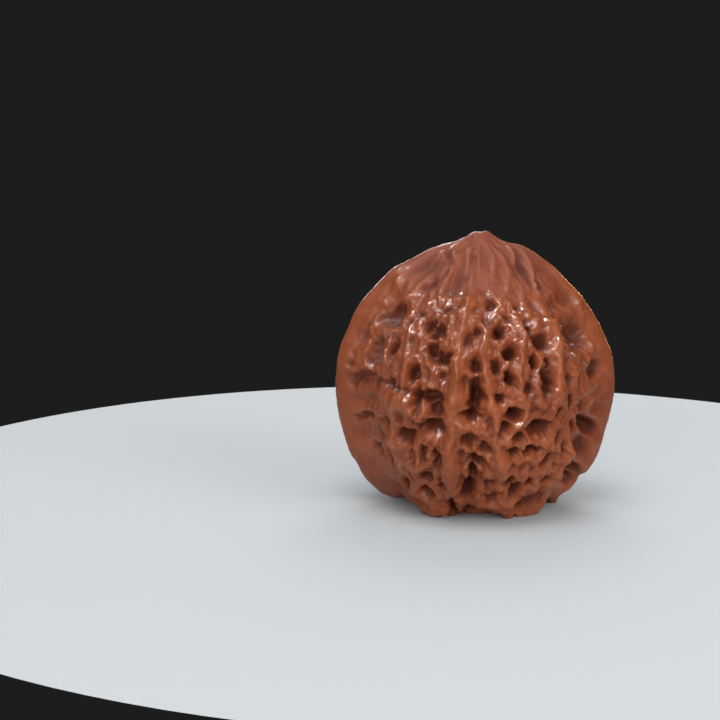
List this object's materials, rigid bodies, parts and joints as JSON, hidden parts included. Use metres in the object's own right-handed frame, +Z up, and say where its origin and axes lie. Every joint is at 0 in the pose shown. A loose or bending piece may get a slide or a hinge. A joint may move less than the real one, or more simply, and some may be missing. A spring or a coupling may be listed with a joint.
{
  "type": "walnut",
  "caption": "Whole walnut in its shell, pitted and ribbed, with a raised rim and a pointed beak, standing on its flat-footed base.",
  "frame": {"origin": "on the ground under the middle of the nut", "axes": "+Z up towards the beak, -Y towards the front belly, X across the rim"},
  "size_m": [0.042, 0.0398, 0.0414],
  "materials": {
    "nut_shell": "polished"
  },
  "bodies": {
    "root": {"walnut_shell": "nut_shell"}
  },
  "joints": []
}
